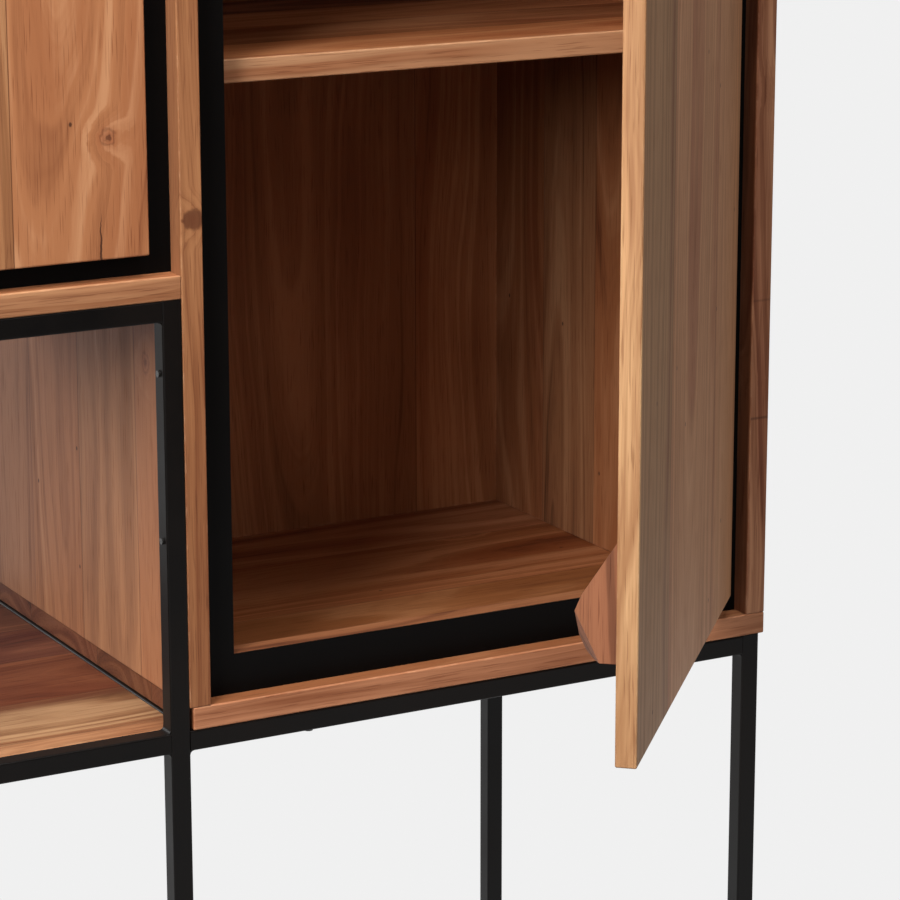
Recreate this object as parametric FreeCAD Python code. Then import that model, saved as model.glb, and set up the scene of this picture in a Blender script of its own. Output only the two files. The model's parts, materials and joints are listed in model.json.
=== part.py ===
import FreeCAD, Part
import math
import os

# Sideboard buffet: two tall cupboards either side of a short cupboard over an open niche,
# in solid wood, standing on a slim welded base of square steel tube.
#
# Everything is laid out in a cabinet frame, in millimetres: x = 0 on the middle line,
# y = 0 on the front face of the wood and the tubes, z = 0 on the floor. On export the
# whole cabinet is moved along y so that the origin is under the middle of its outline,
# with the right-hand door standing open.

V = FreeCAD.Vector
X_AXIS = V(1, 0, 0)
Y_AXIS = V(0, 1, 0)
Z_AXIS = V(0, 0, 1)

# ---- overall sizes
WIDTH = 1500.0
DEPTH = 445.0
HEIGHT = 1200.0
RAIL_TOP = 420.0          # floor to the top of the base rails, where the wood starts
BAY = 524.0               # outside width of each tall cupboard
NICHE_HEIGHT = 320.0      # clear height of the open niche

# ---- steel base
TUBE = 16.0
TUBE_WALL = 1.5
TUBE_CORNER = 1.5
SIDE_OVERHANG = 5.0       # how far the wood stands out past the end legs
GLIDE = 4.0               # plastic foot below each leg
GLIDE_EDGE = 1.0
PLUG_DEPTH = 12.0
PLUG_AIR = 0.3
BEARER = 3.0              # flat bars that carry the niche floor
BEARER_WIDTH = 25.0
BEARER_INSET = 36.0

# ---- wood carcass
PANEL = 18.0
SOFT = 1.2                # rounding of every sawn edge
BOTTOM_SETBACK = 2.8      # bottom board is this much short of its divider
NICHE_FLOOR = 12.5
NICHE_FLOOR_AIR = 0.5
BACK = 12.0
BACK_Y = 420.0            # front face of the back panels
SHELF_BOTTOM = 487.0      # above the rails
SHELF_AIR = 1.0
SHELF_SETBACK = 2.0       # behind the stop frame
SHELF_PIN_RADIUS = 2.5
SHELF_PIN_IN = 8.0
SHELF_PIN_OUT = 8.0
SHELF_PIN_INSET = 50.0

# ---- frames inside the cupboard openings
RECESS = 18.0             # the black frames lie this far behind the front
FACE_PLATE = 2.0
STOP_DEPTH = 18.0
STOP_SIDE = 28.0
STOP_END = 31.5

# ---- doors
DOOR = 16.0
DOOR_SOFT = 1.5
DOOR_SIDE_GAP = 24.0
DOOR_END_GAP = 17.0
DOOR_AIR = 0.3            # between a shut door and its frame
REST_ANGLE = 48.0         # the right-hand door stands open by this much
MAGNET_RADIUS = 5.0
MAGNET_DEPTH = 3.0
MAGNET_INSET = 34.0
MAGNET_END = 8.0

# ---- carved grip inside each door, near its free edge
GRIP_SETBACK = 12.0
GRIP_WIDTH = 36.0
GRIP_FOOT = 73.0          # above the bottom of the door
GRIP_HEIGHT = 92.0
GRIP_REACH = 32.0
GRIP_SHOULDER = V(0, 27, 50)
GRIP_NOSE_TOP = 38.0
GRIP_NOSE_ROUND = 16.0
GRIP_SHOULDER_ROUND = 8.0
GRIP_FACET_FOOT = 14.0
GRIP_FACET_DEPTH = V(15, 27, 8)

# ---- butt hinges
HINGE = 50.0
KNUCKLE_RADIUS = 2.7
KNUCKLE_GAP = 0.3
PIN_RADIUS = 1.5
PIN_AIR = 0.05
PIN_HEAD = 1.2
PIN_HEAD_RADIUS = 2.2
PIN_OUT = 3.3             # hinge pin beyond the edge of the door
PIN_Y = 15.0              # hinge pin behind the front of the cabinet
LEAF = 1.5
LEAF_START = 3.2
LEAF_END = 17.0
HINGE_SCREW_X = 10.8      # screw line from the hinge pin
HINGE_SCREW_Z = 15.0      # screws above and below the middle of the hinge
HINGE_INSET_TALL = 85.0
HINGE_INSET_SHORT = 65.0

# ---- screws: head radius, head height, shank radius, length
BASE_SCREW = (3.6, 2.2, 1.9, 30.0)
BEARER_SCREW = (3.0, 1.8, 1.6, 11.0)
POST_SCREW = (2.6, 1.6, 1.7, 28.0)
HINGE_SCREW = (2.4, 1.0, 1.1, 12.0)
SCREW_AIR = 0.1
SCREW_MOUTH = 2.0         # a hole is opened out over this many head heights
BASE_SCREW_X = (330.0, 630.0)
POST_SCREW_Z = (151.0, 280.0)

# ---- how shapes are made
CUT_PAST = 1.0            # cuts run this far past the face that they open through
CLOSE = 0.01              # two lengths nearer than this are the same
ALIGNED = 0.9             # cosine above which an edge runs along an axis
FACET_SPREAD = 3.0        # how much larger the facet's cutter is than the facet

# ---- levels and lines that follow from the sizes above
RAIL_FOOT = RAIL_TOP - TUBE
DIVIDER_X = WIDTH / 2 - BAY
SIDE_X = WIDTH / 2
INNER_LEFT = DIVIDER_X + PANEL
INNER_RIGHT = SIDE_X - PANEL
LEG_X = SIDE_X - SIDE_OVERHANG
POST_X = DIVIDER_X - TUBE
REAR_TUBE_Y = DEPTH - TUBE
BOX_FLOOR = RAIL_TOP + PANEL
BOX_TOP = HEIGHT - PANEL
HEADER_FOOT = RAIL_TOP + NICHE_HEIGHT
MIDDLE_FOOT = HEADER_FOOT + TUBE
MIDDLE_TOP = MIDDLE_FOOT + PANEL
DOOR_BACK = RECESS - DOOR_AIR
DOOR_FRONT = DOOR_BACK - DOOR
STOP_BACK = RECESS + FACE_PLATE + STOP_DEPTH


def box(x0, x1, y0, y1, z0, z1):
    return Part.makeBox(x1 - x0, y1 - y0, z1 - z0, V(x0, y0, z0))


def board(x0, x1, y0, y1, z0, z1, soft=SOFT):
    """Sawn board with every edge rounded over."""
    solid = box(x0, x1, y0, y1, z0, z1)
    return solid.makeFillet(soft, solid.Edges)


def tube(x0, x1, y0, y1, z0, z1, along):
    """Hollow square tube that runs along one axis."""
    outer = box(x0, x1, y0, y1, z0, z1)
    long_edges = [e for e in outer.Edges if abs(e.tangentAt(e.FirstParameter).dot(along)) > ALIGNED]
    outer = outer.makeFillet(TUBE_CORNER, long_edges)
    inset = (V(1, 1, 1) - along) * TUBE_WALL
    hollow = box(x0 + inset.x, x1 - inset.x, y0 + inset.y, y1 - inset.y, z0 + inset.z, z1 - inset.z)
    return outer.cut(hollow)


def cylinder(radius, length, start, along):
    return Part.makeCylinder(radius, length, start, along)


def screw(kind, seat, along):
    """Screw with its head resting on the seat and its shank pointing along."""
    head_radius, head_height, shank_radius, length = kind
    head = cylinder(head_radius, head_height, seat - along * head_height, along)
    return head.fuse(cylinder(shank_radius, length, seat, along)).removeSplitter()


def screw_hole(kind, seat, along):
    """Hole for that screw, with a little air all round it."""
    head_radius, head_height, shank_radius, length = kind
    mouth_length = head_height * SCREW_MOUTH
    mouth = cylinder(head_radius + SCREW_AIR, mouth_length, seat - along * mouth_length, along)
    return mouth.fuse(cylinder(shank_radius + SCREW_AIR, length + SCREW_AIR, seat, along))


def drilled(shape, holes):
    for hole in holes:
        shape = shape.cut(hole)
    return shape


def mirrored(shape):
    return shape.mirror(V(0, 0, 0), X_AXIS)


def both_sides(shape):
    """The shape as modelled, for the right, and its mirror image, for the left."""
    return (("right", shape), ("left", mirrored(shape)))


def group(shapes):
    return Part.makeCompound(shapes)


def grip():
    """Carved wedge: x from the free edge, y inward from the door, z above its own foot."""
    outline = [
        V(0, 0, 0),
        V(0, 0, GRIP_HEIGHT),
        GRIP_SHOULDER,
        V(0, GRIP_REACH, GRIP_NOSE_TOP),
        V(0, GRIP_REACH, 0),
    ]
    blank = Part.Face(Part.makePolygon(outline + outline[:1])).extrude(X_AXIS * GRIP_WIDTH)
    nose = long_edge_at(blank, GRIP_REACH, 0)
    blank = blank.makeFillet(GRIP_NOSE_ROUND, [nose])
    shoulder = long_edge_at(blank, GRIP_SHOULDER.y, GRIP_SHOULDER.z)
    blank = blank.makeFillet(GRIP_SHOULDER_ROUND, [shoulder])
    cutter = facet_cutter()
    other = cutter.mirror(V(GRIP_WIDTH / 2, 0, 0), X_AXIS)
    return blank.cut(cutter).cut(other)


def long_edge_at(solid, y, z):
    """The edge that runs along x through the given y and z."""
    for edge in solid.Edges:
        centre = edge.CenterOfMass
        in_place = abs(centre.y - y) < CLOSE and abs(centre.z - z) < CLOSE
        if in_place and edge.Length > GRIP_WIDTH - CLOSE:
            return edge
    raise ValueError("no such edge")


def facet_cutter():
    """Block that pares the lower corner of the grip's nose to one slanting facet."""
    top = V(0, GRIP_REACH, GRIP_NOSE_TOP)
    foot = V(0, GRIP_FACET_FOOT, 0)
    centre = (top + foot + GRIP_FACET_DEPTH) * (1 / 3)
    corners = [centre + (p - centre) * FACET_SPREAD for p in (top, foot, GRIP_FACET_DEPTH)]
    outward = (foot - top).cross(GRIP_FACET_DEPTH - top).normalize()
    if outward.z > 0:
        outward = outward * -1
    return Part.Face(Part.makePolygon(corners + corners[:1])).extrude(outward * GRIP_REACH)


def hinge_leaf(pivot, side, y0, y1, z0, barrels):
    """Leaf on one side of the pin, with its own barrels of the knuckle."""
    near, far = sorted((pivot.x + side * LEAF_START, pivot.x + side * LEAF_END))
    leaf = box(near, far, y0, y1, z0, z0 + HINGE)
    for low, high in barrels:
        start, end = sorted((pivot.x, pivot.x + side * LEAF_START))
        barrel = cylinder(KNUCKLE_RADIUS, high - low, V(pivot.x, pivot.y, low), Z_AXIS)
        leaf = leaf.fuse(barrel).fuse(box(start, end, y0, y1, low, high))
    bore = cylinder(PIN_RADIUS + PIN_AIR, HINGE, V(pivot.x, pivot.y, z0), Z_AXIS)
    return leaf.cut(bore).removeSplitter()


def hinge_pin(pivot, z0):
    pin = cylinder(PIN_RADIUS, HINGE, V(pivot.x, pivot.y, z0), Z_AXIS)
    for start in (z0 - PIN_HEAD, z0 + HINGE):
        pin = pin.fuse(cylinder(PIN_HEAD_RADIUS, PIN_HEAD, V(pivot.x, pivot.y, start), Z_AXIS))
    return pin.removeSplitter()


def hinged_door(hinge_edge, width, z0, z1, hinge_middles):
    """A door shut in its opening and hung on its right, with all that it carries and hangs from."""
    pivot = V(hinge_edge + PIN_OUT, PIN_Y, 0)
    free_edge = hinge_edge - width
    slab = board(free_edge, hinge_edge, DOOR_FRONT, DOOR_BACK, z0, z1, DOOR_SOFT)
    made = {"door_leaves": [], "frame_leaves": [], "pins": [], "door_screws": [], "frame_screws": []}
    frame_holes = []
    third = (HINGE - 2 * KNUCKLE_GAP) / 3
    for middle in hinge_middles:
        low = middle - HINGE / 2
        first_top = low + third
        last_foot = low + HINGE - third
        door_leaf = hinge_leaf(
            pivot, -1, DOOR_BACK - LEAF, DOOR_BACK, low,
            [(first_top + KNUCKLE_GAP, last_foot - KNUCKLE_GAP)],
        )
        frame_leaf = hinge_leaf(
            pivot, 1, RECESS - LEAF, RECESS, low,
            [(low, first_top), (last_foot, low + HINGE)],
        )
        mortise_end = DOOR_BACK + CUT_PAST
        mortise = box(pivot.x - LEAF_END, pivot.x, DOOR_BACK - LEAF, mortise_end, low, low + HINGE)
        slab = slab.cut(mortise)
        for step in (-HINGE_SCREW_Z, HINGE_SCREW_Z):
            door_seat = V(pivot.x - HINGE_SCREW_X, DOOR_BACK - HINGE_SCREW[1], middle + step)
            door_hole = screw_hole(HINGE_SCREW, door_seat, -Y_AXIS)
            door_leaf = door_leaf.cut(door_hole)
            slab = slab.cut(door_hole)
            made["door_screws"].append(screw(HINGE_SCREW, door_seat, -Y_AXIS))
            frame_seat = V(pivot.x + HINGE_SCREW_X, RECESS - LEAF + HINGE_SCREW[1], middle + step)
            frame_hole = screw_hole(HINGE_SCREW, frame_seat, Y_AXIS)
            frame_leaf = frame_leaf.cut(frame_hole)
            frame_holes.append(frame_hole)
            made["frame_screws"].append(screw(HINGE_SCREW, frame_seat, Y_AXIS))
        made["door_leaves"].append(door_leaf)
        made["frame_leaves"].append(frame_leaf)
        made["pins"].append(hinge_pin(pivot, low))
    magnets = []
    for z in (z0 + MAGNET_END, z1 - MAGNET_END):
        mouth = V(free_edge + MAGNET_INSET, DOOR_BACK, z)
        magnets.append(cylinder(MAGNET_RADIUS, MAGNET_DEPTH, mouth, -Y_AXIS))
        slab = slab.cut(cylinder(MAGNET_RADIUS + SCREW_AIR, MAGNET_DEPTH, mouth, -Y_AXIS))
    block = grip()
    block.translate(V(free_edge + GRIP_SETBACK, DOOR_BACK, z0 + GRIP_FOOT))
    moving = {
        "door": slab,
        "door_grip": block,
        "door_hinge_leaves": group(made["door_leaves"]),
        "door_hinge_screws": group(made["door_screws"]),
        "door_magnets": group(magnets),
    }
    fixed = {
        "hinge_frame_leaves": made["frame_leaves"],
        "hinge_pins": made["pins"],
        "hinge_frame_screws": made["frame_screws"],
    }
    return moving, fixed, frame_holes, pivot


def opening_frame(x0, x1, z0, z1, holes):
    """Black steel face plate and the wooden stop frame behind it, round one cupboard opening."""
    inside = (x0 + STOP_SIDE, x1 - STOP_SIDE)
    level = (z0 + STOP_END, z1 - STOP_END)
    back = RECESS + FACE_PLATE
    window = box(*inside, RECESS - CUT_PAST, back + CUT_PAST, *level)
    plate = box(x0, x1, RECESS, back, z0, z1).cut(window)
    sticks = [
        box(x0, inside[0], back, STOP_BACK, z0, z1),
        box(inside[1], x1, back, STOP_BACK, z0, z1),
        box(*inside, back, STOP_BACK, z0, level[0]),
        box(*inside, back, STOP_BACK, level[1], z1),
    ]
    return drilled(plate, holes), group([drilled(stick, holes) for stick in sticks])


parts = {}

# ---- screws that hold the wood to the base, and the holes they need
rail_lines = (TUBE / 2, DEPTH - TUBE / 2)
base_seats = [V(s * x, y, RAIL_FOOT) for x in BASE_SCREW_X for s in (-1, 1) for y in rail_lines]
base_holes = [screw_hole(BASE_SCREW, seat, Z_AXIS) for seat in base_seats]
bearer_lines = (BEARER_INSET, DEPTH - BEARER_INSET - BEARER_WIDTH)
bearer_foot = RAIL_TOP - NICHE_FLOOR - BEARER
bearer_seats = [
    V(s * POST_X / 2, y + BEARER_WIDTH / 2, bearer_foot) for y in bearer_lines for s in (-1, 1)
]
bearer_holes = [screw_hole(BEARER_SCREW, seat, Z_AXIS) for seat in bearer_seats]
post_seats = [(V(s * POST_X, TUBE / 2, RAIL_TOP + z), X_AXIS * s) for z in POST_SCREW_Z for s in (-1, 1)]
post_holes = [screw_hole(POST_SCREW, seat, along) for seat, along in post_seats]
parts["frame_screws"] = group(
    [screw(BASE_SCREW, seat, Z_AXIS) for seat in base_seats]
    + [screw(BEARER_SCREW, seat, Z_AXIS) for seat in bearer_seats]
    + [screw(POST_SCREW, seat, along) for seat, along in post_seats]
)

# ---- steel base: legs, posts that run on up beside the niche, rails and cross rails
leg = tube(LEG_X - TUBE, LEG_X, 0, TUBE, GLIDE, RAIL_TOP, Z_AXIS)
rear_leg = tube(LEG_X - TUBE, LEG_X, REAR_TUBE_Y, DEPTH, GLIDE, RAIL_TOP, Z_AXIS)
post = tube(POST_X, DIVIDER_X, 0, TUBE, GLIDE, MIDDLE_FOOT, Z_AXIS)
inner_leg = tube(POST_X, DIVIDER_X, REAR_TUBE_Y, DEPTH, GLIDE, RAIL_FOOT, Z_AXIS)
front_rail = tube(DIVIDER_X, LEG_X - TUBE, 0, TUBE, RAIL_FOOT, RAIL_TOP, X_AXIS)
end_rail = tube(LEG_X - TUBE, LEG_X, TUBE, REAR_TUBE_Y, RAIL_FOOT, RAIL_TOP, Y_AXIS)
inner_rail = tube(DIVIDER_X, DIVIDER_X + TUBE, TUBE, REAR_TUBE_Y, RAIL_FOOT, RAIL_TOP, Y_AXIS)
for side, shape in both_sides(leg):
    parts[f"front_{side}_leg"] = shape
for side, shape in both_sides(rear_leg):
    parts[f"rear_{side}_leg"] = shape
for side, shape in both_sides(post):
    parts[f"front_{side}_post"] = drilled(shape, post_holes)
for side, shape in both_sides(inner_leg):
    parts[f"rear_{side}_inner_leg"] = shape
for side, shape in both_sides(front_rail):
    parts[f"front_{side}_rail"] = drilled(shape, base_holes)
for side, shape in both_sides(end_rail):
    parts[f"{side}_end_rail"] = shape
for side, shape in both_sides(inner_rail):
    parts[f"{side}_inner_rail"] = shape
rear_rail = tube(TUBE - LEG_X, LEG_X - TUBE, REAR_TUBE_Y, DEPTH, RAIL_FOOT, RAIL_TOP, X_AXIS)
parts["rear_rail"] = drilled(rear_rail, base_holes)
parts["front_centre_rail"] = tube(-POST_X, POST_X, 0, TUBE, RAIL_FOOT, RAIL_TOP, X_AXIS)
parts["niche_header"] = tube(-POST_X, POST_X, 0, TUBE, HEADER_FOOT, MIDDLE_FOOT, X_AXIS)
bearers = [
    box(-DIVIDER_X, DIVIDER_X, y, y + BEARER_WIDTH, bearer_foot, bearer_foot + BEARER) for y in bearer_lines
]
parts["niche_floor_bearers"] = group([drilled(bar, bearer_holes) for bar in bearers])

# ---- plastic glides: a foot below each leg and a plug inside it
glides = []
for x in (LEG_X - TUBE, POST_X, -DIVIDER_X, -LEG_X):
    for y in (0, REAR_TUBE_Y):
        foot = box(x, x + TUBE, y, y + TUBE, 0, GLIDE)
        foot = foot.makeFillet(GLIDE_EDGE, foot.Edges)
        inset = TUBE_WALL + PLUG_AIR
        plug = box(x + inset, x + TUBE - inset, y + inset, y + TUBE - inset, GLIDE / 2, GLIDE + PLUG_DEPTH)
        glides.append(foot.fuse(plug))
parts["leg_glides"] = group(glides)

# ---- shelf pins and their holes
shelf_z = RAIL_TOP + SHELF_BOTTOM
shelf_front = STOP_BACK + SHELF_SETBACK
pin_seats = [
    (V(x, y, shelf_z - SHELF_PIN_RADIUS), along)
    for x, along in ((INNER_LEFT, -X_AXIS), (INNER_RIGHT, X_AXIS))
    for y in (shelf_front + SHELF_PIN_INSET, BACK_Y - SHELF_PIN_INSET)
]
shelf_pins = [
    cylinder(SHELF_PIN_RADIUS, SHELF_PIN_IN + SHELF_PIN_OUT, seat - along * SHELF_PIN_OUT, along)
    for seat, along in pin_seats
]
pin_holes = [
    cylinder(SHELF_PIN_RADIUS + SCREW_AIR, SHELF_PIN_IN + SCREW_AIR, seat, along) for seat, along in pin_seats
]
parts["shelf_pins"] = group(shelf_pins + [mirrored(pin) for pin in shelf_pins])

# ---- tall cupboards
divider = drilled(board(DIVIDER_X, INNER_LEFT, 0, DEPTH, BOX_FLOOR, BOX_TOP), pin_holes + post_holes)
outer_side = drilled(board(INNER_RIGHT, SIDE_X, 0, DEPTH, BOX_FLOOR, BOX_TOP), pin_holes)
bottom = drilled(board(DIVIDER_X + BOTTOM_SETBACK, SIDE_X, 0, DEPTH, RAIL_TOP, BOX_FLOOR), base_holes)
shelf = board(INNER_LEFT + SHELF_AIR, INNER_RIGHT - SHELF_AIR, shelf_front, BACK_Y, shelf_z, shelf_z + PANEL)
tall_back = box(INNER_LEFT, INNER_RIGHT, BACK_Y, BACK_Y + BACK, BOX_FLOOR, BOX_TOP)
for name, shape in (
    ("divider", divider),
    ("outer_side", outer_side),
    ("bottom_board", bottom),
    ("shelf", shelf),
    ("back_panel", tall_back),
):
    for side, one in both_sides(shape):
        parts[f"{side}_{name}"] = one

# ---- middle bay and the top that spans all three
parts["top_board"] = board(-SIDE_X, SIDE_X, 0, DEPTH, BOX_TOP, HEIGHT)
parts["middle_board"] = board(-DIVIDER_X, DIVIDER_X, 0, BACK_Y, MIDDLE_FOOT, MIDDLE_TOP)
floor_half = DIVIDER_X - NICHE_FLOOR_AIR
niche_floor = board(-floor_half, floor_half, TUBE, REAR_TUBE_Y, RAIL_TOP - NICHE_FLOOR, RAIL_TOP)
parts["niche_floor"] = drilled(niche_floor, bearer_holes)
parts["centre_back_panel"] = box(-DIVIDER_X, DIVIDER_X, BACK_Y, BACK_Y + BACK, MIDDLE_FOOT, BOX_TOP)

# ---- doors with their hinges, and the frames that they shut against
tall_foot = BOX_FLOOR + DOOR_END_GAP
door_top = BOX_TOP - DOOR_END_GAP
tall_width = INNER_RIGHT - INNER_LEFT - 2 * DOOR_SIDE_GAP
tall_hinges = (tall_foot + HINGE_INSET_TALL, (tall_foot + door_top) / 2, door_top - HINGE_INSET_TALL)
tall = hinged_door(INNER_RIGHT - DOOR_SIDE_GAP, tall_width, tall_foot, door_top, tall_hinges)
short_foot = MIDDLE_TOP + DOOR_END_GAP
short_width = 2 * (DIVIDER_X - DOOR_SIDE_GAP)
short_hinges = (short_foot + HINGE_INSET_SHORT, door_top - HINGE_INSET_SHORT)
short = hinged_door(DIVIDER_X - DOOR_SIDE_GAP, short_width, short_foot, door_top, short_hinges)

tall_moving, tall_fixed, tall_frame_holes, tall_pivot = tall
short_moving, short_fixed, short_frame_holes, short_pivot = short
for name, shape in tall_moving.items():
    parts[f"left_{name}"] = mirrored(shape)
    opened = shape.copy()
    opened.rotate(tall_pivot, Z_AXIS, REST_ANGLE)
    parts[f"right_{name}"] = opened
for name, shape in short_moving.items():
    parts[f"centre_{name}"] = mirrored(shape)
for name, shapes in tall_fixed.items():
    on_left = [mirrored(shape) for shape in shapes]
    in_centre = [mirrored(shape) for shape in short_fixed[name]]
    parts[name] = group(shapes + on_left + in_centre)

tall_plate, tall_stops = opening_frame(INNER_LEFT, INNER_RIGHT, BOX_FLOOR, BOX_TOP, tall_frame_holes)
short_plate, short_stops = opening_frame(-DIVIDER_X, DIVIDER_X, MIDDLE_TOP, BOX_TOP, short_frame_holes)
for side, shape in both_sides(tall_plate):
    parts[f"{side}_face_frame"] = shape
for side, shape in both_sides(tall_stops):
    parts[f"{side}_stop_frame"] = shape
parts["centre_face_frame"] = mirrored(short_plate)
parts["centre_stop_frame"] = mirrored(short_stops)

# ---- origin: on the floor, under the middle of the outline with the right-hand door open
angle = math.radians(REST_ANGLE)
corner_x = DOOR_SOFT - tall_width - PIN_OUT
corner_y = DOOR_FRONT + DOOR_SOFT - PIN_Y
front_reach = PIN_Y + corner_x * math.sin(angle) + corner_y * math.cos(angle) - DOOR_SOFT
shift = V(0, -(front_reach + DEPTH) / 2, 0)

os.makedirs("parts", exist_ok=True)
for name, shape in parts.items():
    placed = shape.copy()
    placed.translate(shift)
    placed.exportStep(f"parts/{name}.step")
print(len(parts), "parts; moved along y by", round(shift.y, 3))
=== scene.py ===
import json
import math

import bmesh
import bpy
from mathutils import Matrix, Vector


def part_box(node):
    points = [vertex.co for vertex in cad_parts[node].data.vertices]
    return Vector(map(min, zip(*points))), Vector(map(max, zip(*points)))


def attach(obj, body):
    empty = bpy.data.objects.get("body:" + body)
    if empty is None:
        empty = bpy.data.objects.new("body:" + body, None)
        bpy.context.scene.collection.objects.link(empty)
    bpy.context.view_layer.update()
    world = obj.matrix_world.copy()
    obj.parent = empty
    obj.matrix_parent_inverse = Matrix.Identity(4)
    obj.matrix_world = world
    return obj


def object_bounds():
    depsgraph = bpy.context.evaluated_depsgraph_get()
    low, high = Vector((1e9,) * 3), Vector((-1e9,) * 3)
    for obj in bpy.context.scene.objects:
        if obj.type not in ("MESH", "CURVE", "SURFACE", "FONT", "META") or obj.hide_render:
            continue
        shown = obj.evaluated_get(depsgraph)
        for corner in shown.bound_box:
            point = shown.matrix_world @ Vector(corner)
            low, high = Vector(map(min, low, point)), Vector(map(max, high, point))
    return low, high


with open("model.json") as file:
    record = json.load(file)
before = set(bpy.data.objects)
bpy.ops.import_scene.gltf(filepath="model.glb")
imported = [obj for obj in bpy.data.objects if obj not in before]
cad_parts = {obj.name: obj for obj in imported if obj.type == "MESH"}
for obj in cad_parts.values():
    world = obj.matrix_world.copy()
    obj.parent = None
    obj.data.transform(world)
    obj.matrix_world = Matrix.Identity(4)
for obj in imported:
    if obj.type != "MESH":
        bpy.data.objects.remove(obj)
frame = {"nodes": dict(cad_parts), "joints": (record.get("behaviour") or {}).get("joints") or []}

# Sideboard buffet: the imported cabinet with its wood, steel and small metal finishes, the welds
# of its base, and a plain studio round it. Lengths are in metres.

NODES = frame["nodes"]
MM = 0.001
cad_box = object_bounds()


# ---- shader helpers
def srgb(red, green, blue):
    """A colour given as it looks on screen, 0 to 255, as the linear colour that shaders take."""
    return tuple((c / 255) ** 2.2 for c in (red, green, blue)) + (1.0,)


class Shader:
    """Adds nodes to a node tree. An input that is a socket is linked, and any other value is set."""

    def __init__(self, tree):
        self.tree = tree

    def put(self, socket, value):
        if isinstance(value, bpy.types.NodeSocket):
            self.tree.links.new(value, socket)
        else:
            socket.default_value = value

    def add(self, kind, inputs=None, **settings):
        node = self.tree.nodes.new("ShaderNode" + kind)
        for name, value in settings.items():
            setattr(node, name, value)
        for name, value in (inputs or {}).items():
            self.put(node.inputs[name], value)
        return node

    def maths(self, operation, *values):
        node = self.add("Math", operation=operation)
        for socket, value in zip(node.inputs, values):
            self.put(socket, value)
        return node.outputs[0]

    def plus(self, *values):
        total = values[0]
        for value in values[1:]:
            total = self.maths("ADD", total, value)
        return total

    def times(self, *values):
        total = values[0]
        for value in values[1:]:
            total = self.maths("MULTIPLY", total, value)
        return total

    def about(self, value, centre, gain):
        """The value's distance from a centre, times a gain."""
        return self.maths("MULTIPLY", self.maths("SUBTRACT", value, centre), gain)

    def step(self, value, start, end, low=0.0, high=1.0):
        """Smooth step from low at start to high at end."""
        node = self.add("MapRange", interpolation_type="SMOOTHSTEP")
        for socket, given in zip(node.inputs, (value, start, end, low, high)):
            self.put(socket, given)
        return node.outputs[0]

    def fade(self, value, start, end):
        """Smooth step from one at start to nothing at end."""
        return self.step(value, start, end, 1.0, 0.0)

    def vector(self, x, y, z):
        return self.add("CombineXYZ", {"X": x, "Y": y, "Z": z}).outputs[0]

    def grain(self, place, across_grain, along_grain):
        """A place across, through and along the grain, scaled for a pattern drawn out along it."""
        across, through, along = place
        return self.vector(
            self.times(across, across_grain),
            self.times(through, across_grain),
            self.times(along, along_grain),
        )

    def split(self, vector):
        return self.add("SeparateXYZ", {"Vector": vector}).outputs[:3]

    def noise(self, vector, detail=2.0, roughness=0.5, scale=1.0):
        inputs = {"Vector": vector, "Scale": scale, "Detail": detail, "Roughness": roughness}
        return self.add("TexNoise", inputs)

    def bands(self, along, detail=2.0, roughness=0.5):
        """Uneven bands, as a function of one number."""
        inputs = {"W": along, "Scale": 1.0, "Detail": detail, "Roughness": roughness}
        return self.add("TexNoise", inputs, noise_dimensions="1D").outputs[0]

    def cells(self, inputs, dimensions, feature="F1"):
        return self.add("TexVoronoi", inputs, voronoi_dimensions=dimensions, feature=feature)

    def blend(self, share, first, second, how="MIX"):
        node = self.add("Mix", data_type="RGBA", blend_type=how)
        for socket, value in zip((node.inputs[0], node.inputs[6], node.inputs[7]), (share, first, second)):
            self.put(socket, value)
        return node.outputs[2]

    def tinted(self, share, colour, tint, how="MULTIPLY"):
        return self.blend(share, colour, self.blend(1.0, colour, tint, how))


# ---- the solid wood: staves glued edge to edge, each with its own rings, knots and colour
WOOD_INPUTS = (
    ("Place", "NodeSocketVector"),
    ("Size", "NodeSocketVector"),
    ("Seed", "NodeSocketFloat"),
    ("Stave", "NodeSocketFloat"),
    ("Pale", "NodeSocketColor"),
    ("Middle", "NodeSocketColor"),
    ("Dark", "NodeSocketColor"),
    ("Streaks", "NodeSocketFloat"),
    ("Knots", "NodeSocketFloat"),
    ("Sapwood And Highlight", "NodeSocketColor"),
    ("Sap And Highlight Width", "NodeSocketFloat"),
    ("Knot", "NodeSocketVector"),
    ("Knot Radius", "NodeSocketFloat"),
    ("Crack", "NodeSocketVector"),
)
WOOD_OUTPUTS = (
    ("Color", "NodeSocketColor"),
    ("Roughness", "NodeSocketFloat"),
    ("Height", "NodeSocketFloat"),
)
KNOT_WOOD = srgb(74, 40, 27)
KNOT_HALO = srgb(150, 78, 48)
SPECK_WOOD = srgb(58, 33, 24)
STREAK_TINT = srgb(196, 158, 140)
JOINT_TINT = srgb(120, 96, 84)
PORE_TINT = srgb(182, 158, 142)
# lightens the arrises: partly wear and chips, partly a painted highlight where rounded arrises catch the
# light
EDGE_WEAR_AND_HIGHLIGHT_TINT = srgb(150, 120, 96)
END_TINT = srgb(176, 150, 134)

# how far the seed and each stave's own random numbers move the pattern, so that no two are alike
SEED_STAVES = 17.3
SEED_ALONG = 3.7
STAVE_ALONG = 9.0
STAVE_ACROSS = 7.0
JOINT_LINE = (0.2 * MM, 0.6 * MM)

# knots: places per metre, then how far each part of a knot reaches from its middle
KNOT_CELLS = 4.5
KNOT_DRAWN_OUT = 0.7
SPECK_CELLS = 24.0
SPECK_SHARE = 0.22
RAGGED = 7.0 * MM
BENT_RINGS = (0.0, 26 * MM)
HALO = (2 * MM, 11 * MM)
CORE = (1.0 * MM, 4.5 * MM)
RIM_IN = (4.0 * MM, 5.5 * MM)
RIM_OUT = (5.5 * MM, 7.5 * MM)
KNOWN_CORE = (0.7, 1.1)
SPECK = (0.7 * MM, 1.7 * MM)

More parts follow.
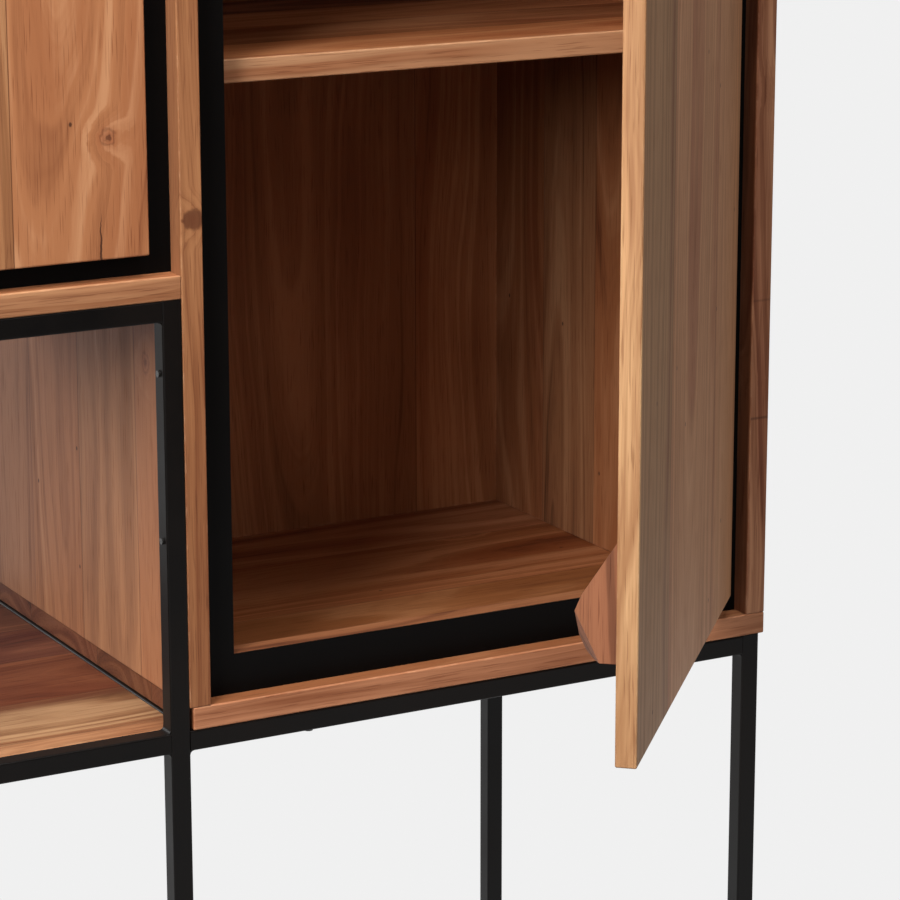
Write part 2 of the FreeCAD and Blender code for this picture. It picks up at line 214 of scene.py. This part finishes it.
# a drying crack: half its width at the foot, and what is left of it where it ends
CRACK_WANDER = 5.0 * MM
CRACK_FOOT = 0.7 * MM
CRACK_END = -0.4 * MM
CRACK_SOFT = 0.4 * MM

# rings: the heart's distance below the board and how it wanders, and the bands per metre of radius
HEART_BELOW = 0.008
HEART_SPREAD = 0.09
HEART_SWAY = 0.06
HEART_DROP = 0.05
HEART_SINK = 0.07
HEART_SLANT = 0.10
SLANT_START = 0.4
KNOT_BEND = 0.013
RING_WAVER = 2.6 * MM
RINGS_PER_METRE = 120.0
HEART_BANDS_PER_METRE = 34.0

# edges: end grain, and lightening along the arrises, partly wear and partly a painted highlight
END_GRAIN = (0.1 * MM, 0.5 * MM)
ARRIS = (0.2 * MM, 1.8 * MM)


def wood_group():
    """Place is measured from the board's lowest corner: X across it, Y through it, Z along its grain."""
    group = bpy.data.node_groups.new("solid_wood", "ShaderNodeTree")
    for name, kind in WOOD_INPUTS:
        group.interface.new_socket(name, in_out="INPUT", socket_type=kind)
    for name, kind in WOOD_OUTPUTS:
        group.interface.new_socket(name, in_out="OUTPUT", socket_type=kind)
    s = Shader(group)
    given = group.nodes.new("NodeGroupInput").outputs
    across, through, along = s.split(given["Place"])
    seed, stave = given["Seed"], given["Stave"]

    # staves: three random numbers for each, the place across it, and the way to the nearest joint
    count = s.plus(s.maths("DIVIDE", across, stave), s.times(seed, SEED_STAVES))
    strip = {"W": count, "Scale": 1.0, "Randomness": 0.5}
    cell = s.cells(strip, "1D")
    one, two, three = s.add("SeparateColor", {"Color": cell.outputs["Color"]}).outputs
    middle = s.maths("SUBTRACT", cell.outputs["W"], count)
    from_middle = s.times(middle, stave, -1.0)
    to_joint = s.times(s.cells(strip, "1D", "DISTANCE_TO_EDGE").outputs["Distance"], stave)
    joint = s.fade(to_joint, *JOINT_LINE)
    own_along = s.plus(along, s.times(two, STAVE_ALONG), s.times(seed, SEED_ALONG))
    own_across = s.plus(across, s.times(one, STAVE_ACROSS))
    own_place = (own_across, through, own_along)

    # knots: the few cells that hold one, the one whose place is given, and how far away they are
    knot_place = s.vector(own_across, s.times(own_along, KNOT_DRAWN_OUT), 0.0)
    knot = s.cells({"Vector": knot_place, "Scale": KNOT_CELLS, "Randomness": 0.9}, "2D")
    chosen = s.maths("LESS_THAN", s.split(knot.outputs["Color"])[0], given["Knots"])
    scattered = s.plus(
        s.maths("DIVIDE", knot.outputs["Distance"], KNOT_CELLS), s.maths("SUBTRACT", 1.0, chosen)
    )
    known = {0: given["Place"], 1: given["Knot"]}
    known_away = s.add("VectorMath", known, operation="DISTANCE").outputs["Value"]
    rough_edge = s.noise(given["Place"], 3.0, 0.6, 170.0).outputs[0]
    ragged = s.about(rough_edge, 0.5, RAGGED)
    knot_away = s.plus(s.maths("MINIMUM", scattered, known_away), ragged)
    known_share = s.maths("DIVIDE", s.plus(known_away, ragged), given["Knot Radius"])
    known_core = s.fade(known_share, *KNOWN_CORE)
    bend = s.fade(knot_away, *BENT_RINGS)
    halo = s.fade(knot_away, *HALO)
    core = s.fade(knot_away, *CORE)
    rim = s.times(s.step(knot_away, *RIM_IN), s.fade(knot_away, *RIM_OUT))
    speck_cell = s.cells({"Vector": knot_place, "Scale": SPECK_CELLS, "Randomness": 1.0}, "2D")
    speck_share = s.times(given["Knots"], SPECK_SHARE)
    speck_here = s.maths("LESS_THAN", s.split(speck_cell.outputs["Color"])[0], speck_share)
    speck_away = s.maths("DIVIDE", speck_cell.outputs["Distance"], SPECK_CELLS)
    speck = s.times(s.fade(speck_away, *SPECK), speck_here)

    # a drying crack that runs in from the foot: its place across the board and how far it reaches
    crack_across, _, crack_reach = s.split(given["Crack"])
    crack_wander = s.about(s.bands(s.times(along, 70.0), 3.0), 0.5, CRACK_WANDER)
    crack_away = s.maths("ABSOLUTE", s.plus(s.maths("SUBTRACT", across, crack_across), crack_wander))
    crack_half = s.step(s.maths("DIVIDE", along, crack_reach), 0.0, 1.0, CRACK_FOOT, CRACK_END)
    crack = s.fade(s.maths("SUBTRACT", crack_away, crack_half), 0.0, CRACK_SOFT)

    # rings round a heart that lies below the board and slants through it, so that they show as arches
    slow = s.noise(s.grain(own_place, 7.0, 1.5))
    sway_across, sway_through, _ = s.split(slow.outputs["Color"])
    quick = s.noise(s.grain(own_place, 55.0, 9.0)).outputs[0]
    spread = s.about(one, 0.5, HEART_SPREAD)
    heart_across = s.plus(from_middle, spread, s.about(sway_across, 0.5, HEART_SWAY))
    slant = s.times(s.about(three, 0.5, HEART_SLANT), s.about(along, SLANT_START, 1.0))
    sink = s.about(sway_through, 0.5, HEART_SINK)
    heart_through = s.plus(through, s.times(two, HEART_DROP), sink, slant, HEART_BELOW)
    squares = s.plus(s.times(heart_across, heart_across), s.times(heart_through, heart_through))
    radius = s.plus(
        s.maths("SQRT", squares), s.times(bend, KNOT_BEND), s.about(quick, 0.5, RING_WAVER)
    )
    rings = s.bands(s.plus(s.times(radius, RINGS_PER_METRE), s.times(three, 40.0)), 4.0, 0.62)
    heart = s.bands(s.plus(s.times(radius, HEART_BANDS_PER_METRE), s.times(one, 60.0), seed), 2.0)

    # fibres, pores and slow changes of tone
    fibre = s.noise(s.grain((from_middle, through, own_along), 300.0, 8.0), 3.0, 0.6).outputs[0]
    pore = s.step(s.noise(s.grain(own_place, 900.0, 28.0), 1.0).outputs[0], 0.58, 0.72)
    cloud = s.noise(s.grain(own_place, 11.0, 2.6), 3.0, 0.55).outputs[0]
    tone = s.plus(
        0.5,
        s.about(rings, 0.5, 1.5),
        s.about(fibre, 0.5, 0.5),
        s.about(cloud, 0.5, 1.3),
        s.about(two, 0.5, 0.45),
    )

    # colour: the board's three tones, its sapwood (on the right door a painted highlight along the lit
    # free edge), the staves' own casts, then the marks on them
    colour = s.blend(s.step(tone, 0.0, 0.5), given["Dark"], given["Middle"])
    colour = s.blend(s.step(tone, 0.5, 1.0), colour, given["Pale"])
    # a pale band along the first edge: sapwood on most boards, a painted highlight on the right door's
    # free edge
    sap_and_highlight_share = s.maths("DIVIDE", s.plus(across, s.about(sway_across, 0.5, 1.5 * MM)), given["Sap And Highlight Width"])
    in_sap_and_highlight = s.times(s.fade(sap_and_highlight_share, 0.9, 1.1), s.maths("GREATER_THAN", given["Sap And Highlight Width"], 0.0))
    dark_sap_and_highlight = s.blend(1.0, given["Sapwood And Highlight"], PORE_TINT, "MULTIPLY")
    sapwood_and_highlight = s.blend(s.step(tone, 0.1, 0.8), dark_sap_and_highlight, given["Sapwood And Highlight"])
    colour = s.blend(s.times(in_sap_and_highlight, 0.9), colour, sapwood_and_highlight)
    streak = s.times(s.step(heart, 0.53, 0.66), s.step(cloud, 0.68, 0.42), given["Streaks"])
    colour = s.tinted(streak, colour, STREAK_TINT)
    cast = {
        "Hue": s.plus(0.5, s.about(three, 0.5, 0.010)),
        "Saturation": s.plus(1.0, s.about(two, 0.5, 0.12)),
        "Value": s.plus(1.0, s.about(one, 0.5, 0.30)),
        "Color": colour,
    }
    colour = s.add("HueSaturation", cast).outputs[0]
    colour = s.tinted(s.times(pore, 0.55), colour, PORE_TINT)
    colour = s.blend(s.times(halo, 0.35), colour, KNOT_HALO)
    knot_wood = s.maths("MAXIMUM", s.times(core, 0.55), s.times(rim, 0.35))
    colour = s.blend(s.maths("MAXIMUM", knot_wood, s.times(known_core, 0.7)), colour, KNOT_WOOD)
    colour = s.blend(s.times(s.maths("MAXIMUM", speck, crack), 0.85), colour, SPECK_WOOD)
    colour = s.tinted(s.times(joint, 0.7), colour, JOINT_TINT)

    # dark end grain, and arrises lightened by how near the place is to the nearest edge of the board:
    # partly wear and chips, partly a painted highlight on the rounded arris
    from_end = s.add("VectorMath", {0: given["Size"], 1: given["Place"]}, operation="SUBTRACT").outputs[0]
    nearest = s.add("VectorMath", {0: from_end, 1: given["Place"]}, operation="MINIMUM").outputs[0]
    a, b, c = s.split(nearest)
    colour = s.tinted(s.step(c, *END_GRAIN, 0.75, 0.0), colour, END_TINT)
    second = s.maths("MAXIMUM", s.maths("MINIMUM", a, b), s.maths("MINIMUM", s.maths("MAXIMUM", a, b), c))
    chipped = s.noise(given["Place"], 3.0, 0.7, 60.0).outputs[0]
    # the arris mask: partly wear, partly a painted highlight
    wear_and_highlight = s.times(s.fade(second, *ARRIS), s.step(chipped, 0.46, 0.66))
    colour = s.tinted(s.times(wear_and_highlight, 0.35), colour, EDGE_WEAR_AND_HIGHLIGHT_TINT, "SCREEN")

    roughness = s.plus(0.54, s.about(tone, 0.5, -0.10), s.times(pore, 0.12), s.times(wear_and_highlight, 0.08))
    height = s.plus(
        s.times(rings, 0.30),
        s.times(fibre, 0.45),
        s.times(pore, -0.5),
        s.times(joint, -1.2),
        s.times(core, -0.4),
        s.times(crack, -1.5),
    )
    out = group.nodes.new("NodeGroupOutput").inputs
    s.put(out["Color"], colour)
    s.put(out["Roughness"], roughness)
    s.put(out["Height"], height)
    return group


WOOD = wood_group()

# which way a board lies: the rows give its across, through and along directions
FACING_FRONT = Matrix(((1, 0, 0), (0, 1, 0), (0, 0, 1)))
FACING_SIDE = Matrix(((0, 1, 0), (-1, 0, 0), (0, 0, 1)))
LYING = Matrix(((0, 1, 0), (0, 0, 1), (1, 0, 0)))

# pale, middle and dark tones
HONEY = (srgb(203, 145, 97), srgb(181, 119, 75), srgb(145, 90, 55))
AMBER = (srgb(186, 136, 98), srgb(165, 112, 76), srgb(133, 85, 56))
TAN = (srgb(184, 132, 90), srgb(166, 112, 73), srgb(143, 94, 61))
# the back panels: their wood made greyer than it is, partly a painted sheen over the shaded inside
UMBER_AND_SHEEN = (srgb(164, 114, 80), srgb(143, 96, 65), srgb(113, 74, 48))
COCOA = (srgb(158, 108, 76), srgb(134, 84, 55), srgb(90, 50, 32))
FAWN = (srgb(208, 154, 108), srgb(194, 140, 96), srgb(172, 122, 82))
CLAY = (srgb(180, 122, 84), srgb(156, 98, 63), srgb(116, 70, 43))
CHESTNUT = (srgb(140, 88, 60), srgb(112, 64, 42), srgb(76, 38, 24))

# pale sapwood left along the board's first edge: its width and colour; on the right door the band is a
# painted highlight on the free edge. A width below nothing means none
NO_SAP = (-0.1, srgb(228, 178, 126))
MIDDLE_SAP = (2 * MM, srgb(206, 154, 108))
FLOOR_SAP = (95 * MM, srgb(196, 152, 112))
BOTTOM_SAP = (2 * MM, srgb(179, 121, 89))
SHELF_SAP = (2 * MM, srgb(176, 136, 104))
SIDE_SAP = (2 * MM, srgb(196, 138, 98))
DIVIDER_SAP = (2 * MM, srgb(173, 120, 76))
# the right door's free edge: a painted highlight where the key light falls on it, drawn as a pale band
DOOR_EDGE_HIGHLIGHT = (3 * MM, srgb(250, 194, 136))

# a knot has a place on the board and a radius, and a crack its place across and its reach from the foot.
# The door's are measured in from its free edge
centre_door_width = (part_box("centre_door")[1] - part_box("centre_door")[0]).x
NO_KNOT = ((-1.0, 0.0, 0.0), 1 * MM)
DIVIDER_KNOT = ((0.0, 7.5 * MM, 377 * MM), 9 * MM)
DOOR_KNOT = ((centre_door_width - 31 * MM, 0.0, 90 * MM), 3 * MM)
NO_CRACK = (-1.0, 0.0, 10 * MM)
DOOR_CRACK = (centre_door_width - 38 * MM, 0.0, 50 * MM)

WOOD_BUMP = (0.35, 0.4 * MM)
WOOD_GLOSS = 0.26


def wood_material(node, lie, tones, seed, stave, streaks, knots, sap_and_highlight=NO_SAP, knot=NO_KNOT, crack=NO_CRACK):
    """Solid wood for one CAD node, with the grain laid out in the board's own directions."""
    material = bpy.data.materials.new("wood_" + node.name)
    material.use_nodes = True
    material.node_tree.nodes.clear()
    s = Shader(material.node_tree)
    turned = [lie @ vertex.co for vertex in node.data.vertices]
    low = Vector(min(p[k] for p in turned) for k in range(3))
    high = Vector(max(p[k] for p in turned) for k in range(3))
    mapping = {
        "Vector": s.add("TexCoord").outputs["Object"],
        "Location": -low,
        "Rotation": lie.to_euler(),
    }
    pale, middle, dark = tones
    inputs = {
        "Place": s.add("Mapping", mapping).outputs[0],
        "Size": high - low,
        "Seed": seed,
        "Stave": stave,
        "Pale": pale,
        "Middle": middle,
        "Dark": dark,
        "Streaks": streaks,
        "Knots": knots,
        "Sap And Highlight Width": sap_and_highlight[0],
        "Sapwood And Highlight": sap_and_highlight[1],
        "Knot": knot[0],
        "Knot Radius": knot[1],
        "Crack": crack,
    }
    wood = material.node_tree.nodes.new("ShaderNodeGroup")
    wood.node_tree = WOOD
    for name, value in inputs.items():
        s.put(wood.inputs[name], value)
    strength, distance = WOOD_BUMP
    bump = {"Height": wood.outputs["Height"], "Strength": strength, "Distance": distance}
    finish = {
        "Base Color": wood.outputs["Color"],
        "Roughness": wood.outputs["Roughness"],
        "Specular IOR Level": WOOD_GLOSS,
        "Normal": s.add("Bump", bump).outputs[0],
    }
    surface = s.add("BsdfPrincipled", finish)
    s.add("OutputMaterial", {"Surface": surface.outputs[0]})
    return material


# ---- painted and bare metal, and the plastic of the feet
BROAD_GRAIN = 9.0
FINE_BUMP = (0.3, 0.1 * MM)


def grained_material(name, dark, light, grain, roughness, metallic=0.0, specular=0.5):
    """A hard finish whose colour, gloss and surface vary a little at the given grain per metre."""
    material = bpy.data.materials.new(name)
    material.use_nodes = True
    material.node_tree.nodes.clear()
    s = Shader(material.node_tree)
    place = s.add("TexCoord").outputs["Object"]
    fine = s.noise(place, 3.0, 0.6, grain).outputs[0]
    broad = s.noise(place, 4.0, 0.6, BROAD_GRAIN).outputs[0]
    patch = s.plus(s.times(fine, 0.35), s.times(broad, 0.65))
    low, high = roughness
    strength, distance = FINE_BUMP
    bump = {"Height": fine, "Strength": strength, "Distance": distance}
    finish = {
        "Base Color": s.blend(s.step(patch, 0.35, 0.65), dark, light),
        "Roughness": s.step(patch, 0.3, 0.7, low, high),
        "Metallic": metallic,
        "Specular IOR Level": specular,
        "Normal": s.add("Bump", bump).outputs[0],
    }
    surface = s.add("BsdfPrincipled", finish)
    s.add("OutputMaterial", {"Surface": surface.outputs[0]})
    return material


POWDER_COAT = grained_material(
    "black_powder_coat", srgb(10, 7, 5), srgb(19, 14, 11), 1400.0, (0.36, 0.5), specular=0.17
)
# the face frames' black, darker than the tubes' coat: the extra darkness is painted shade of the recess
# they sit in
SHADED_PLATE_COAT = grained_material(
    "black_face_plate_and_painted_shade", srgb(6, 5, 5), srgb(12, 10, 9), 1400.0, (0.55, 0.68), specular=0.1
)
HINGE_METAL = grained_material(
    "burnished_hinge_steel", srgb(30, 28, 27), srgb(52, 48, 45), 700.0, (0.35, 0.5), metallic=0.8
)
BLACK_SCREW = grained_material(
    "blacked_screw_steel", srgb(26, 25, 24), srgb(44, 42, 40), 900.0, (0.2, 0.3), specular=0.5
)
SCREW_METAL = grained_material(
    "zinc_screw_steel", srgb(96, 94, 92), srgb(150, 147, 142), 900.0, (0.25, 0.42), metallic=1.0
)
MAGNET_METAL = grained_material(
    "nickel_magnet", srgb(150, 148, 144), srgb(190, 188, 184), 500.0, (0.18, 0.3), metallic=1.0
)
GLIDE_PLASTIC = grained_material(
    "black_glide_plastic", srgb(18, 18, 18), srgb(30, 30, 30), 600.0, (0.55, 0.7)
)


# ---- the right-hand door stands open at rest, so its grain is laid out with the door turned shut
def hinge_turn(name):
    """The turn that shuts a door which stands open at rest, about its hinge line."""
    joint = next(j for j in frame["joints"] if j["name"] == name)
    return Matrix.Rotation(math.radians(joint["range_deg"][0]) * joint["axis"][2], 3, "Z")


SHUT = hinge_turn("right_door_hinge")

# name, lie, tones, seed, stave width, share of dark streaks, share of knots, then for some the sapwood
# (on the right door a painted edge highlight), knot and crack
BOARDS = (
    ("top_board", LYING, HONEY, 1.1, 0.078, 0.6, 0.35),
    ("middle_board", LYING, HONEY, 2.3, 0.090, 0.4, 0.35, MIDDLE_SAP),
    ("niche_floor", LYING, CHESTNUT, 3.2, 0.085, 1.0, 0.3, FLOOR_SAP),
    ("left_bottom_board", LYING, COCOA, 4.7, 0.095, 0.6, 0.35, BOTTOM_SAP),
    ("right_bottom_board", LYING, COCOA, 5.9, 0.120, 0.5, 0.35, BOTTOM_SAP),
    ("left_shelf", LYING, COCOA, 6.4, 0.090, 0.7, 0.3, SHELF_SAP),
    ("right_shelf", LYING, COCOA, 7.8, 0.085, 0.7, 0.2, SHELF_SAP),
    ("left_outer_side", FACING_SIDE, COCOA, 8.5, 0.082, 0.6, 0.3, SIDE_SAP),
    ("right_outer_side", FACING_SIDE, COCOA, 9.6, 0.095, 0.7, 0.3, SIDE_SAP),
    ("left_divider", FACING_SIDE, TAN, 10.3, 0.088, 0.2, 0.3, DIVIDER_SAP),
    ("right_divider", FACING_SIDE, TAN, 11.9, 0.104, 0.2, 0.3, DIVIDER_SAP, DIVIDER_KNOT),
    ("left_back_panel", FACING_FRONT, UMBER_AND_SHEEN, 12.4, 0.170, 0.3, 0.1),
    ("right_back_panel", FACING_FRONT, UMBER_AND_SHEEN, 13.7, 0.240, 0.3, 0.1),
    ("centre_back_panel", FACING_FRONT, UMBER_AND_SHEEN, 14.2, 0.180, 0.3, 0.1),
    ("left_stop_frame", FACING_FRONT, COCOA, 16.3, 0.300, 0.3, 0.2),
    ("centre_stop_frame", FACING_FRONT, COCOA, 17.5, 0.300, 0.3, 0.2),
    ("right_stop_frame", LYING, COCOA, 18.8, 0.300, 0.3, 0.2),
    ("left_door", FACING_FRONT, AMBER, 19.4, 0.105, 0.3, 0.2),
    ("centre_door", FACING_FRONT, AMBER, 26.3, 0.105, 0.25, 0.2, NO_SAP, DOOR_KNOT, DOOR_CRACK),
    ("right_door", FACING_FRONT @ SHUT, FAWN, 21.5, 0.170, 0.6, 0.3, DOOR_EDGE_HIGHLIGHT),
    ("left_door_grip", FACING_FRONT, CLAY, 22.2, 0.200, 0.4, 0.3),
    ("centre_door_grip", FACING_FRONT, CLAY, 23.3, 0.200, 0.4, 0.3),
    ("right_door_grip", FACING_FRONT @ SHUT, CLAY, 24.9, 0.200, 0.4, 0.3),
)


def dress(name, material):
    """Gives a CAD node its material, in place of the plain one that it came with."""
    slots = NODES[name].data.materials
    slots.clear()
    slots.append(material)


for name, *look in BOARDS:
    dress(name, wood_material(NODES[name], *look))

FINISHES = (
    (("_leg", "_post", "_rail", "niche_header", "_bearers"), POWDER_COAT),
    (("_face_frame",), SHADED_PLATE_COAT),
    (("_leaves",), HINGE_METAL),
    (("_screws", "_pins"), SCREW_METAL),
    (("_magnets",), MAGNET_METAL),
    (("leg_glides",), GLIDE_PLASTIC),
)
for name in NODES:
    for endings, material in FINISHES:
        if name.endswith(endings):
            dress(name, material)
dress("frame_screws", BLACK_SCREW)


# ---- welds in the inner corners of the base
WELD = 3.2 * MM           # reach of a weld along each tube
WELD_SINK = 0.4 * MM      # how far it goes into the tubes
WELD_ARC = 8              # straight sides to its hollow face
WELD_RIPPLES = 7
RIPPLE_STEPS = 4
RIPPLE = 0.10             # how much its reach grows and shrinks along it
WELD_CREASE = 50.0        # edges sharper than this many degrees stay sharp
TUBE_CORNER = 1.0 * MM


def weld(name, corner, away, down, across, length):
    """Hollow fillet in the corner between two tubes, rippled along its length, which runs across."""
    mesh = bmesh.new()
    rings = []
    steps = WELD_RIPPLES * RIPPLE_STEPS
    for i in range(steps + 1):
        share = i / steps
        reach = WELD * (1 + RIPPLE * math.sin(share * WELD_RIPPLES * 2 * math.pi))
        outline = [(-WELD_SINK, -WELD_SINK), (reach, -WELD_SINK)]
        for k in range(WELD_ARC + 1):
            turn = math.radians(90 * k / WELD_ARC)
            outline.append((reach * (1 - math.sin(turn)), reach * (1 - math.cos(turn))))
        outline.append((-WELD_SINK, reach))
        centre = corner + across * length * (share - 0.5)
        rings.append([mesh.verts.new(centre + away * u + down * v) for u, v in outline])
    for first, second in zip(rings, rings[1:]):
        for k in range(len(first)):
            after = (k + 1) % len(first)
            mesh.faces.new((first[k], first[after], second[after], second[k]))
    mesh.faces.new(rings[0])
    mesh.faces.new(rings[-1])
    bmesh.ops.recalc_face_normals(mesh, faces=mesh.faces[:])
    data = bpy.data.meshes.new(name)
    mesh.to_mesh(data)
    mesh.free()
    data.shade_smooth()
    data.set_sharp_from_angle(angle=math.radians(WELD_CREASE))
    piece = bpy.data.objects.new(name, data)
    bpy.context.scene.collection.objects.link(piece)
    data.materials.append(POWDER_COAT)
    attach(piece, "cabinet")


X, Y, Z = Vector((1, 0, 0)), Vector((0, 1, 0)), Vector((0, 0, 1))


def welds():
    """A weld below each rail where it meets a leg, and in the four corners of the niche's frame."""
    low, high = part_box("front_right_post")
    tube = high.x - low.x
    length = tube - 2 * TUBE_CORNER
    rail_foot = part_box("front_centre_rail")[0].z
    rail_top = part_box("front_centre_rail")[1].z
    header_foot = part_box("niche_header")[0].z
    front = (low.y + high.y) / 2
    rear_low, rear_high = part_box("rear_rail")
    rear = (rear_low.y + rear_high.y) / 2
    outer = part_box("front_right_leg")[0].x
    count = 0
    for side in (-1, 1):
        for y, inward in ((front, 1), (rear, -1)):
            corners = (
                (Vector((side * outer, y, rail_foot)), -side * X, Y),
                (Vector((side * high.x, y, rail_foot)), side * X, Y),
                (Vector((side * low.x, y, rail_foot)), -side * X, Y),
                (Vector((side * (outer + tube / 2), y + inward * tube / 2, rail_foot)), inward * Y, X),
            )
            for corner, away, across in corners:
                count += 1
                weld(f"base_weld_{count:02d}", corner, away, -Z, across, length)
        for z, up in ((rail_top, Z), (header_foot, -Z)):
            count += 1
            corner = Vector((side * low.x, front, z))
            weld(f"niche_frame_weld_{count:02d}", corner, -side * X, up, Y, length)


welds()


# ---- studio
BACKDROP_LIGHT = 0.872    # radiance that shows as the pale grey-white of the studio
BACKDROP_WHITE = (1.0, 1.0, 1.0, 1.0)
FLOOR_RADIUS = 16.0
DOME_RADIUS = FLOOR_RADIUS * 1.01
NEAR_FLOOR = 2.1          # the feet and the legs mirror the floor this far out
ROUND = 64                # straight sides to a circle
# painted contact shadow on the glowing floor round the feet
CONTACT = 0.16            # how far the feet darken the floor
CONTACT_SHADE = srgb(176, 174, 172)
CONTACT_SAMPLES = 8


def studio_material(name, contact):
    """A surface that shines evenly, and where contact is set carries a painted contact shadow, darker
    close to what stands on it.
    """
    material = bpy.data.materials.new(name)
    material.use_nodes = True
    material.node_tree.nodes.clear()
    s = Shader(material.node_tree)
    colour = BACKDROP_WHITE
    if contact:
        # painted contact shadow: occlusion darkens the glowing floor near what stands on it
        nearby = s.add("AmbientOcclusion", {"Distance": CONTACT}, samples=CONTACT_SAMPLES)
        colour = s.blend(s.step(nearby.outputs["AO"], 0.0, 0.9), CONTACT_SHADE, BACKDROP_WHITE)
    glow = s.add("Emission", {"Color": colour, "Strength": BACKDROP_LIGHT})
    s.add("OutputMaterial", {"Surface": glow.outputs[0]})
    return material


def near_floor(mesh):
    bmesh.ops.create_circle(mesh, cap_ends=True, segments=ROUND, radius=NEAR_FLOOR)


def far_floor(mesh):
    for radius in (NEAR_FLOOR, FLOOR_RADIUS):
        bmesh.ops.create_circle(mesh, segments=ROUND, radius=radius)
    bmesh.ops.bridge_loops(mesh, edges=mesh.edges[:])


def dome(mesh):
    bmesh.ops.create_uvsphere(mesh, u_segments=ROUND, v_segments=ROUND // 2, radius=DOME_RADIUS)


def everywhere(place):
    return True


def behind_left(place):
    return place.x < 0 < place.y


def elsewhere(place):
    return not behind_left(place)


def studio():
    """A pale floor and the pale dome that it runs into, which cast no light. The steel and the wood
    mirror only the floor that is near and the lit backdrop behind on the left.
    """
    pale = studio_material("studio_backdrop", False)
    shaded = studio_material("studio_floor", True)
    for name, shape, where, mirrored, material in (
        ("studio_near_floor", near_floor, everywhere, True, shaded),
        ("studio_floor_behind_left", far_floor, behind_left, True, pale),
        ("studio_floor_elsewhere", far_floor, elsewhere, False, pale),
        ("studio_dome_behind_left", dome, behind_left, True, pale),
        ("studio_dome_elsewhere", dome, elsewhere, False, pale),
    ):
        mesh = bmesh.new()
        shape(mesh)
        dropped = [face for face in mesh.faces if not where(face.calc_center_median())]
        bmesh.ops.delete(mesh, geom=dropped, context="FACES")
        data = bpy.data.meshes.new(name)
        mesh.to_mesh(data)
        mesh.free()
        piece = bpy.data.objects.new(name, data)
        bpy.context.scene.collection.objects.link(piece)
        data.materials.append(material)
        piece.visible_diffuse = False
        piece.visible_shadow = False
        piece.visible_glossy = mirrored


def toward(azimuth, elevation):
    """Direction from the cabinet to a light: azimuth 0 is straight in front, and grows to its left."""
    a, e = math.radians(azimuth), math.radians(elevation)
    return Vector((-math.sin(a) * math.cos(e), -math.cos(a) * math.cos(e), math.sin(e)))


# name, azimuth and elevation in degrees, size in metres, power in watts
LIGHTS = (
    ("key_low", 50, 22, 1.6, 100),
    ("key_high", 50, 45, 1.6, 100),
    ("overhead", 0, 80, 2.4, 170),
    ("front_fill", 0, 35, 1.6, 20),
    ("behind_left", 150, 20, 1.6, 74),
)
LIGHT_DISTANCE = 4.2      # from the middle of the cabinet
AIR_COLOUR = (0.97, 0.98, 1.0, 1.0)
AIR_LIGHT = 0.2


def area_light(name, azimuth, elevation, size, power):
    data = bpy.data.lights.new(name, "AREA")
    data.shape = "DISK"
    data.size = size
    data.energy = power
    light = bpy.data.objects.new(name, data)
    bpy.context.scene.collection.objects.link(light)
    middle = (cad_box[0] + cad_box[1]) / 2
    light.location = middle + toward(azimuth, elevation) * LIGHT_DISTANCE
    light.rotation_euler = toward(azimuth, elevation).to_track_quat("Z", "Y").to_euler()


def lights():
    for row in LIGHTS:
        area_light(*row)
    world = bpy.data.worlds.new("studio_air")
    world.use_nodes = True
    air = world.node_tree.nodes["Background"].inputs
    air["Color"].default_value = AIR_COLOUR
    air["Strength"].default_value = AIR_LIGHT
    bpy.context.scene.world = world


# ---- camera
LENS = 139.05
YAW = 28.82
PITCH = 14.22
ROLL = 0.07
DISTANCE = 2.708
AIM = Vector((0.226, 0.0, 0.1935))     # from where the right post meets the rail


def camera():
    post_low, post_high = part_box("front_right_post")
    rail_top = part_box("front_centre_rail")[1].z
    aim = Vector((post_high.x, post_low.y, rail_top)) + AIM
    back = toward(YAW, PITCH)
    data = bpy.data.cameras.new("camera")
    data.lens = LENS
    seen = bpy.data.objects.new("camera", data)
    bpy.context.scene.collection.objects.link(seen)
    seen.location = aim + back * DISTANCE
    roll = Matrix.Rotation(math.radians(-ROLL), 3, "Z")
    seen.rotation_euler = (back.to_track_quat("Z", "Y").to_matrix() @ roll).to_euler()
    bpy.context.scene.camera = seen


studio()
lights()
camera()
bpy.context.scene.view_settings.view_transform = "Standard"
